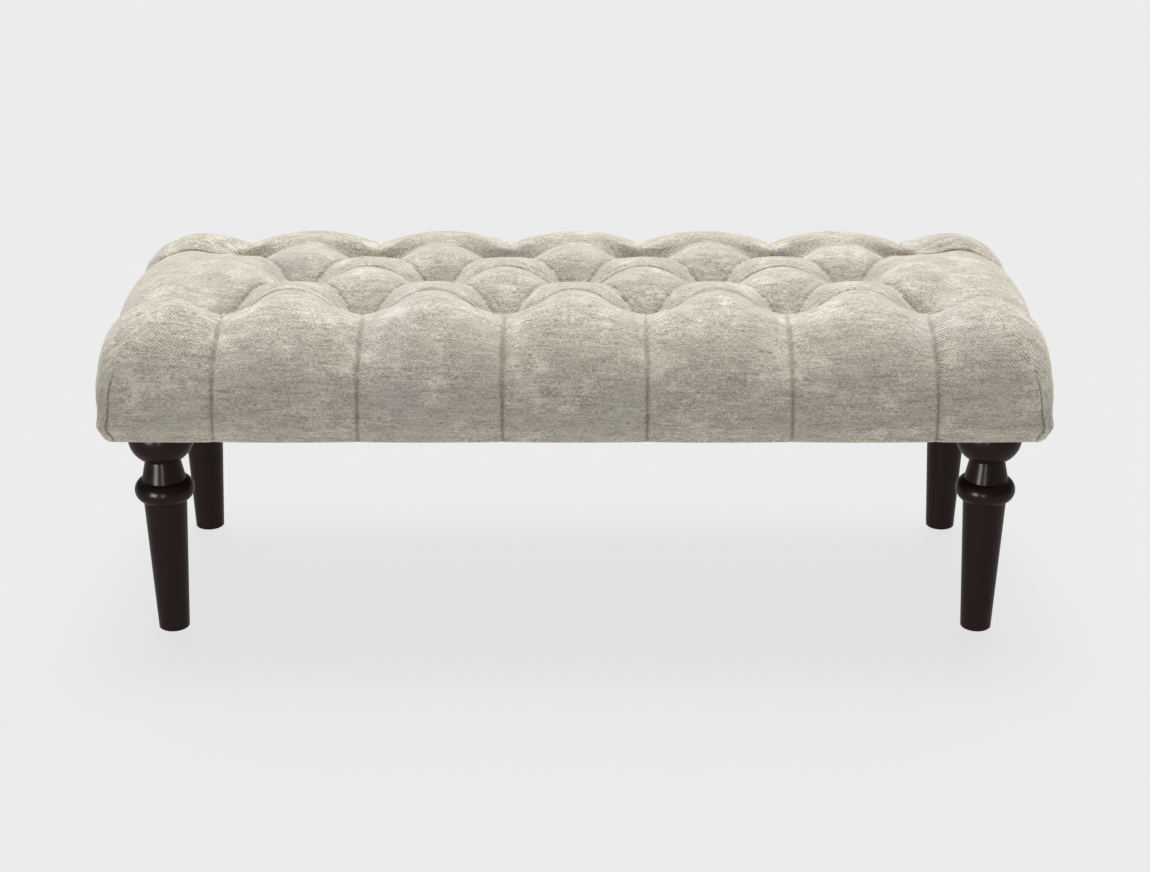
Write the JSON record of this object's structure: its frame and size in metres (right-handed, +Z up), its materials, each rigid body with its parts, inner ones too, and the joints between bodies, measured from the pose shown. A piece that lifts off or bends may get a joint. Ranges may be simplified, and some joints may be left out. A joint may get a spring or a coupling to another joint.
{
  "type": "button tufted footstool",
  "caption": "Long padded footstool with a deep button tufted woven seat, pleated sides and turned dark wood legs.",
  "frame": {"origin": "on the floor under the middle of the seat, at the bottom centre of the whole footstool", "axes": "+X along the seat's length, +Y from its front (the side pictured) to its back, +Z up"},
  "size_m": [1.1782, 0.4542, 0.4444],
  "materials": {
    "leg_wood": "turned hardwood, near-black espresso stain under satin lacquer",
    "glide_nylon": "moulded dark grey nylon",
    "zinc_steel": "bright zinc plated steel",
    "frame_pine": "planed softwood, unfinished",
    "deck_plywood": "sanded plywood, unfinished",
    "seat_foam": "open-cell polyurethane foam",
    "seat_batting": "bonded polyester fibre",
    "cover_fabric": "mottled oatmeal twill weave with slubs",
    "button_fabric": "metal button shells covered in the seat's fabric",
    "twine": "waxed nylon tufting twine",
    "washer_plastic": "plain plastic washers",
    "dust_cover_cambric": "black non-woven cambric"
  },
  "bodies": {
    "root": {"leg_front_left": "leg_wood", "leg_front_right": "leg_wood", "leg_back_left": "leg_wood", "leg_back_right": "leg_wood", "foot_glides": "glide_nylon", "hanger_bolts": "zinc_steel", "tee_nuts": "zinc_steel", "front_rail": "frame_pine", "back_rail": "frame_pine", "left_end_rail": "frame_pine", "right_end_rail": "frame_pine", "left_cross_rail": "frame_pine", "right_cross_rail": "frame_pine", "corner_block_front_left": "frame_pine", "corner_block_front_right": "frame_pine", "corner_block_back_left": "frame_pine", "corner_block_back_right": "frame_pine", "rail_screws": "zinc_steel", "block_screws": "zinc_steel", "deck_panel": "deck_plywood", "deck_screws": "zinc_steel", "seat_foam": "seat_foam", "seat_batting": "seat_batting", "seat_cover": "cover_fabric", "front_row_buttons": "button_fabric", "middle_row_buttons": "button_fabric", "back_row_buttons": "button_fabric", "front_row_twines": "twine", "middle_row_twines": "twine", "back_row_twines": "twine", "twine_washers": "washer_plastic", "cover_staples": "zinc_steel", "dust_cover": "dust_cover_cambric", "dust_cover_staples": "zinc_steel"}
  },
  "joints": []
}
